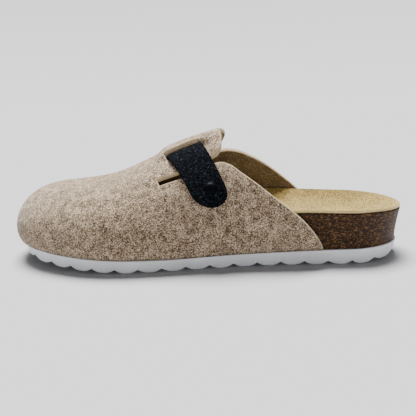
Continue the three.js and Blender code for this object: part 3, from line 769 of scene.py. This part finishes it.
def tongueAcross(station, row, side):
    # equal steps from the crest to the slot, over the slot, and over the strip below it, where both lips
    # are held back by the radius as well
    rim, upperLip, lowerLip = tongueRim(station, side), slotUpper(station, side), slotLower(station, side)
    upperLip = upperLip - lengthAcross(station, upperLip, upper["round"])
    lowerLip = lowerLip + lengthAcross(station, lowerLip, upper["round"])
    lowerLip = np.minimum(lowerLip, rim * upper["lowestLip"])
    crest, slot, strip = upper["tongueRows"]
    overSlot = blend(upperLip, lowerLip, (row - crest) / slot)
    overStrip = blend(lowerLip, rim, (row - crest - slot) / strip)
    return np.where(row <= crest, upperLip * row / crest, np.where(row <= crest + slot, overSlot, overStrip))


def baseAcross(station):
    return 1 - lengthAcross(station, upper["base"], upper["round"])


def wingAcross(station, row, side):
    edge = wingTop(station, side)
    return blend(edge + lengthAcross(station, edge, upper["round"]), baseAcross(station), row)


def tongueSheet(side, way):
    # stations run up to the slot, along it, and on to the rear edge
    atCap = tongueAcross(capStation, tongueRows, side)
    middle, half = strapMiddle(atCap), slotHalf(atCap, upper["round"])
    start, end = middle - half, middle + half
    shareAcross = np.clip(atCap / tongueRim(capStation, side), 0, 1)
    reach = readTable(tongueEndTable, side, shareAcross) * strap["width"] + upper["tongueReach"]
    reach = np.maximum(reach - upper["round"] * 2, upper["leastReach"])
    rear = end + lengthAlong(end, way * atCap, reach)
    before, along, behind = upper["tongueSteps"]
    stations = np.concatenate([blend(slitStation, start, np.linspace(0, 1, before + 1)[:, None]),
                               blend(start, end, np.linspace(0, 1, along + 1)[1:, None]),
                               blend(end, rear, np.linspace(0, 1, behind + 1)[1:, None])])
    crest, slot, _ = upper["tongueRows"]
    hole = np.zeros((stations.shape[0] - 1, stations.shape[1] - 1), bool)
    hole[before:before + along, crest:crest + slot] = True
    return feltPoint(stations, way * tongueAcross(stations, tongueRows, side), side), hole


def wingSheet(side, way):
    # rows run down from the slit, stations back to the rear edge
    rear = shareToStation(readTable(wingEndTable, side, wingRows))
    rear = rear - lengthAlong(rear, way * wingAcross(rear, wingRows, side), upper["round"])
    stations = blend(slitStation, rear, np.linspace(0, 1, upper["wingSteps"])[:, None])
    return feltPoint(stations, way * wingAcross(stations, wingRows, side), side), None


def vampSheet(side, way):
    # the rows of tongue and wing run on to the toe; the lower ones spread to keep the base's radius
    toe, middle = upper["vampSteps"]
    stations = np.concatenate([np.linspace(0, 1, toe), np.linspace(1, slitStation, middle)[1:]])
    atTongue, atWing = tongueAcross(slitStation, tongueRows, side), wingAcross(slitStation, wingRows, side)
    between = blend(atTongue[-1], atWing[0], np.linspace(0, 1, upper["betweenRows"])[1:-1])
    rows = np.concatenate([atTongue, between, atWing])
    spread = (rows - upper["spreadFrom"]) / (rows[-1] - upper["spreadFrom"])
    spread = blend(upper["spreadFrom"], baseAcross(stations)[:, None], spread)
    across = np.where(rows > upper["spreadFrom"], spread, rows)
    return feltPoint(np.broadcast_to(stations[:, None], across.shape), way * across, side), None


def feltSheets():
    sheets = []
    for side, way in (("outer", -1.0), ("inner", 1.0)):
        for grid, hole in (vampSheet(side, way), tongueSheet(side, way), wingSheet(side, way)):
            if way < 0:  # turned round, so that its faces point outwards too
                grid, hole = grid[:, ::-1], None if hole is None else hole[:, ::-1]
            sheets.append((grid, hole))
    return sheets


points, faces, marks = wallFrom(feltSheets(), shoe["feltThickness"], upper["round"])
# painted shade, darker close to the sole: a bell curve over the height above it
aboveSole = points[:, 2] - soleTop(points[:, 0] / shoe["soleLength"] + 0.5) - shoe["clearance"]
marks["paintedShadeNearSole"] = np.exp(-(np.maximum(0, aboveSole) / upper["paintedShadeHeight"]) ** 2)
addPiece("feltUpper", points, faces, feltMaterial(), "upper", marks)


# Strap
def strapOffset(station, across, side):
    # from under the crest, through the slot, to outside the wing
    height, way = np.abs(across), np.sign(across)
    top, lower = slotUpper(station, side), slotLower(station, side)
    thickness, clearance = strap["thickness"], shoe["clearance"]
    bow = thickness * strap["bow"] * ease(blend(top, lower, strap["bowStart"]), lower, height)
    outside = thickness + clearance + bow * (1 - ease(lower, lower * 2, height))
    outside = outside + feltPush(station, way * np.maximum(height, lower), side)
    inside = feltPush(station, way * np.minimum(height, top), side) - shoe["feltThickness"] - clearance
    return blend(inside, outside, ease(top - strap["passing"], lower + strap["passing"], height))


def strapSheets():
    # rows along the strap from each end to the crest; towards an end a circle's chord narrows them
    radius, band = strap["round"], strap["endBand"]
    end = strap["end"] - lengthAcross(capStation, strap["end"], radius)
    near = end - band * np.linspace(0, 1, strap["endRows"]) ** 2
    across = np.concatenate([near, np.linspace(end - band, 0, strap["rows"])[1:]])
    toEnd = (end - across) / lengthAcross(capStation, across, strap["width"] / 2 - radius)
    narrow = np.sqrt(np.maximum(0, 1 - np.maximum(0, 1 - toEnd) ** 2))
    widthShares = np.linspace(-1, 1, strap["columns"])[:, None]
    halves = []
    for side, way in (("outer", -1.0), ("inner", 1.0)):
        stations = strapMiddle(across) + widthShares * strapHalf(way * across, radius) * narrow
        grid = np.broadcast_to(way * across, stations.shape)
        halves.append(upperOffset(stations, grid, strapOffset(stations, grid, side)))
    return [(np.concatenate([halves[0], halves[1][:, ::-1][:, 1:]], axis=1), None)]


points, faces, marks = wallFrom(strapSheets(), strap["thickness"], strap["round"])
addPiece("feltStrap", points, faces, strapMaterial(), "strap", marks)


# Snap fasteners
def turnedPoints(profile, count=64):
    # a profile of (radius, height) turned round its axis; both ends lie on the axis
    radius, height = np.array(profile).T
    angle = np.linspace(0, 2 * np.pi, count + 1)[:, None]
    level = np.broadcast_to(height, (count + 1, len(height)))
    return joinGrids([(np.stack([radius * np.cos(angle), radius * np.sin(angle), level], -1), None)])


def roundCorner(centre, radius, start, stop, steps=6):
    turn = np.radians(np.linspace(start, stop, steps))
    return [(centre[0] + radius * np.cos(t), centre[1] + radius * np.sin(t)) for t in turn]


def capProfile():
    # flat seat, rolled rim, and a low dome that falls with a power of the distance from the axis
    half, tall, radius = snap["capDiameter"] / 2, snap["capHeight"], snap["capRound"]
    seat, foot = strap["thickness"] - snap["sink"], snap["domeFoot"]
    rim = roundCorner((half - radius, seat + radius), radius, -90, 60)
    dome = [(r * (half - snap["domeInset"]), seat + foot + (tall - foot) * (1 - r ** snap["domePower"]))
            for r in np.linspace(1, 0, 12)]
    return [(0, seat)] + rim + dome


def studProfile():
    # a disc with a hollow in its lower face
    half, radius = snap["studDiameter"] / 2, snap["studRound"]
    seat = -shoe["feltThickness"] - shoe["clearance"] - snap["studGap"]
    low = seat - snap["studHeight"]
    bottom, mouth = snap["socket"]
    hollow = [(0, low + snap["socketDepth"]), (half * bottom, low + snap["socketDepth"]), (half * mouth, low)]
    return hollow + roundCorner((half - radius, low + radius), radius, -90, 0) + [(half, seat), (0, seat)]


snapPaint = snapMaterial()
for name, way in (("lateral", -1.0), ("medial", 1.0)):
    seatPoint = upperPoint(capStation, way * snap["share"])
    axis = upperNormal(capStation, way * snap["share"])
    turn = np.array(Vector((0, 0, 1)).rotation_difference(Vector(axis)).to_matrix())
    for kind, profile in (("cap", capProfile()), ("stud", studProfile())):
        points, faces = turnedPoints(profile)
        node = "snap_" + kind + "_" + name
        addPiece(node + "_turned", points @ turn.T + seatPoint, faces, snapPaint, node)


# Outsole
sole = {
    "lobes": 17,
    "start": 2.6,  # how much the first lobe is cut short
    "grooveDepth": 2.3,
    "flat": 0.24,  # share of a lobe that stays level
    "groovePower": 1.7,
    "taper": 0.9,
    "push": 2.6,  # how far the grooves bend along the sole
    "tipFade": 0.004,  # over this share of the length each tip rises to the grooves' bottom
    "edge": 1.1,  # radius along the lower edge
    "lip": 0.5,  # radius along the upper edge
    "tip": 0.012,  # closest columns up to here, close ones up to the end
    "end": 0.06,
    "columns": (10, 30, 416),
    "treadRows": 25,
}


def grooveDepth(phase):
    # 0 on a lobe's flat middle, 1 in the narrow groove: a power of the distance from the lobe's middle
    away = np.abs(phase - np.floor(phase) - 0.5) * 2
    return np.clip((away - sole["flat"]) / (1 - sole["flat"]), 0, 1) ** sole["groovePower"]


def outsolePoints():
    # a closed section at each place along the sole: waved tread, inner wall, flat top, outer wall
    tip, end = sole["tip"], sole["end"]
    tips, ends, middle = sole["columns"]
    close = np.concatenate([np.linspace(0, tip, tips) ** 2 / tip, np.linspace(tip, end, ends)[1:]])
    share = np.concatenate([close, np.linspace(end, 1 - end, middle)[1:-1], 1 - close[::-1]])
    station = shareToStation(share)
    _, fullness = stationShape(station)
    depth = grooveDepth(share * sole["lobes"] + sole["start"] / shoe["soleLength"] * sole["lobes"])
    depth = blend(1, depth, ease(0, sole["tipFade"], share) * ease(0, sole["tipFade"], 1 - share))
    bend = sole["push"] * fullness * ease(0, end, share) * ease(0, end, 1 - share)
    feet = [offsetEdge(station, side, -sole["taper"] - sole["edge"])[0] for side in (-1.0, 1.0)]
    top = soleTop(share)
    turn = np.linspace(0, np.pi / 2, 6)

    def edgePoint(side, offset, height):
        edge, _ = offsetEdge(station, side, offset)
        return np.stack([edge[:, 0], edge[:, 1], height], -1)

    def treadPoint(t):
        # two waves across bend the grooves
        plan = blend(feet[0], feet[1], t)
        x = plan[:, 0] + bend * np.sin(4 * np.pi * t)
        height = treadHeight(x / shoe["soleLength"] + 0.5) + depth * sole["grooveDepth"]
        return np.stack([x, plan[:, 1], height], -1)

    def wall(side, low):
        # a quarter circle, a taper that leans out, and a small quarter circle
        lower = [edgePoint(side, -sole["taper"] - sole["edge"] * (1 - np.sin(angle)),
                           low + sole["edge"] * (1 - np.cos(angle))) for angle in turn[1:]]
        start = lower[-1][:, 2]
        straight = [edgePoint(side, -sole["taper"] * (1 - rise), blend(start, top - sole["lip"], rise))
                    for rise in np.linspace(0, 1, 5)[1:-1]]
        lip = [edgePoint(side, -sole["lip"] * (1 - np.cos(angle)), top - sole["lip"] * (1 - np.sin(angle)))
               for angle in turn]
        return lower + straight + lip

    tread = [treadPoint(t) for t in np.linspace(0, 1, sole["treadRows"])]
    inner, outer = wall(1.0, tread[-1][:, 2]), wall(-1.0, tread[0][:, 2])
    across = [blend(inner[-1], outer[-1], t) for t in np.linspace(0, 1, 5)[1:-1]]
    return np.stack(tread + inner + across + outer[::-1] + [tread[0]], 1)


points, faces = joinGrids([(outsolePoints()[:, ::-1], None)])
addPiece("mouldedOutsole", points, faces, foamMaterial(), "outsole")


# Footbed
bed = {
    "insoleRound": 0.9,
    "corkRound": 0.7,
    "steps": (80, 130, 70),  # along toe, middle and heel
    "across": 57,
    "flarePower": 1.5,
    # strength of the painted highlight on the rim
    "paintedRimHighlight": 0.7,
    "rimSlope": (0.35, 0.85),  # how upright a face is where the rim's painted highlight starts and is full
}


def bedStations():
    toe, middle, heel = bed["steps"]
    ends = np.linspace(1, 2, middle)[1:], np.linspace(2, 3, heel)[1:]
    return np.concatenate([np.linspace(0, 1, toe), *ends])


def bedEdge(station, side, flareShare, extra=0.0):
    share, _ = stationShape(station)
    return offsetEdge(station, side, corkFlare(share) * flareShare - corkInset(share) + extra)[0]


def bedFace(station, drop, radius):
    # the bowl between its two edges, held back by the edge's radius, with closer rows towards both edges
    outer, inner = (bedEdge(station, side, 1.0, -radius) for side in (-1.0, 1.0))
    across = np.sin(np.linspace(-1, 1, bed["across"]) * np.pi / 2)
    plan = blend(outer[:, None], inner[:, None], (across[:, None] + 1) / 2)
    height = footbedTop(station[:, None], across[None, :]) - drop
    return np.concatenate([plan, height[..., None]], -1)


def raised(edge, height):
    return np.concatenate([edge, height[:, None]], -1)


def insolePoints():
    # top and bottom face, joined by half circles round the edge
    station, radius = bedStations(), bed["insoleRound"]
    top, bottom = bedFace(station, 0, radius), bedFace(station, shoe["insoleThickness"], radius)
    rims = {}
    for side in (-1.0, 1.0):
        rim = footbedTop(station, np.full_like(station, side))
        rims[side] = np.stack([raised(bedEdge(station, side, 1.0, -radius + radius * np.sin(angle)),
                                      rim - radius * (1 - np.cos(angle)))
                               for angle in np.linspace(0, np.pi, 11)[1:-1]], 1)
    return np.concatenate([top, rims[1.0], bottom[:, ::-1], rims[-1.0][:, ::-1], top[:, :1]], 1)


def corkPoints():
    # the bowl, a quarter circle, and a wall that draws in towards the sole with a power of its height
    station, radius = bedStations(), bed["corkRound"]
    drop = shoe["insoleThickness"] + shoe["clearance"]
    floor = soleTop(stationShape(station)[0]) + shoe["clearance"]
    walls = {}
    for side in (-1.0, 1.0):
        rim = footbedTop(station, np.full_like(station, side)) - drop
        corner = [raised(bedEdge(station, side, 1.0, -radius * (1 - np.sin(angle))),
                         rim - radius * (1 - np.cos(angle))) for angle in np.linspace(0, np.pi / 2, 5)[1:]]
        straight = [raised(bedEdge(station, side, rise ** bed["flarePower"]), blend(floor, rim - radius, rise))
                    for rise in 1 - np.linspace(0, 1, 11)[1:]]
        walls[side] = np.stack(corner + straight, 1)
    top = bedFace(station, drop, radius)
    return np.concatenate([top, walls[1.0], walls[-1.0][:, ::-1], top[:, :1]], 1)


points, faces = joinGrids([(insolePoints(), None)])
upright = 1 - np.abs(pointNormals(points, faces)[:, 2])  # painted highlight round the rim, where the face stands up
rim = ease(*bed["rimSlope"], upright) * bed["paintedRimHighlight"]
addPiece("suedeInsole", points, faces, suedeMaterial(), "insole", {"rim": rim})
points, faces = joinGrids([(corkPoints(), None)])
addPiece("corkFootbed", points, faces, corkMaterial(), "cork_footbed")

# Stage
studio = {
    "floor": srgb(174, 174, 176),
    "floorFinish": {"Roughness": 0.9, "Specular IOR Level": 0.1},
    "reach": 9.0,  # radius of the floor in metres, level up to "level" and then rising to "rise"
    "level": 1.6,
    "rise": 2.2,
    "floorRings": 40,
    "floorSpokes": 97,
    "world": 0.18,
    "sunTowards": (-0.1, 0.34, 0.94),
    "sunPower": 12.8,
    "sunWidth": 30,  # in degrees; the wider, the softer the shadow
    "camera": (36.286, -416.935, 130.874),
    "right": (0.99665, 0.07325, -0.03631),
    "up": (0.01831, 0.23280, 0.97235),
    "lens": 52.89,
    "sensor": 36.0,
}


def addFloor():
    # a level disc whose far rim rises with the square of the distance, so that no horizon shows
    reach, level, rings, spokes = (studio[name] for name in ("reach", "level", "floorRings", "floorSpokes"))
    radius = np.concatenate([[0.0], np.linspace(level, reach, rings)])
    angle = np.linspace(0, 2 * np.pi, spokes)[:, None]
    height = studio["rise"] * (np.maximum(0, radius - level) / (reach - level)) ** 2
    height = np.broadcast_to(height, (spokes, rings + 1))
    grid = np.stack([radius * np.cos(angle), radius * np.sin(angle), height], -1)
    points, faces = joinGrids([(grid[::-1], None)])
    material, _, shader, _ = newMaterial("pale floor", studio["floorFinish"])
    shader.inputs["Base Color"].default_value = (*studio["floor"], 1)
    addMesh("floor", points, faces, material)


def addLight():
    world = bpy.data.worlds.new("studio")
    world.use_nodes = True
    background = world.node_tree.nodes["Background"]
    background.inputs[0].default_value = (1, 1, 1, 1)
    background.inputs[1].default_value = studio["world"]
    bpy.context.scene.world = world
    sun = bpy.data.lights.new("sun", "SUN")
    sun.energy = studio["sunPower"]
    sun.angle = np.radians(studio["sunWidth"])
    lamp = bpy.data.objects.new("sun", sun)
    lamp.rotation_euler = Vector(studio["sunTowards"]).to_track_quat("Z", "Y").to_euler()
    bpy.context.scene.collection.objects.link(lamp)


def addCamera():
    right, up = (np.array(studio[name]) for name in ("right", "up"))
    back = np.cross(right, up)
    place = (np.array(studio["camera"]) + shift) * mm
    camera = bpy.data.cameras.new("camera")
    camera.sensor_width = studio["sensor"]
    camera.lens = studio["lens"]
    camera.clip_start = 0.01
    body = bpy.data.objects.new("camera", camera)
    turn = np.stack([unit(right), unit(up), unit(back)], 1)
    body.matrix_world = Matrix.Translation(place.tolist()) @ Matrix(turn.tolist()).to_4x4()
    bpy.context.scene.collection.objects.link(body)
    bpy.context.scene.camera = body


addFloor()
addLight()
addCamera()
print("floor, light and camera are set")
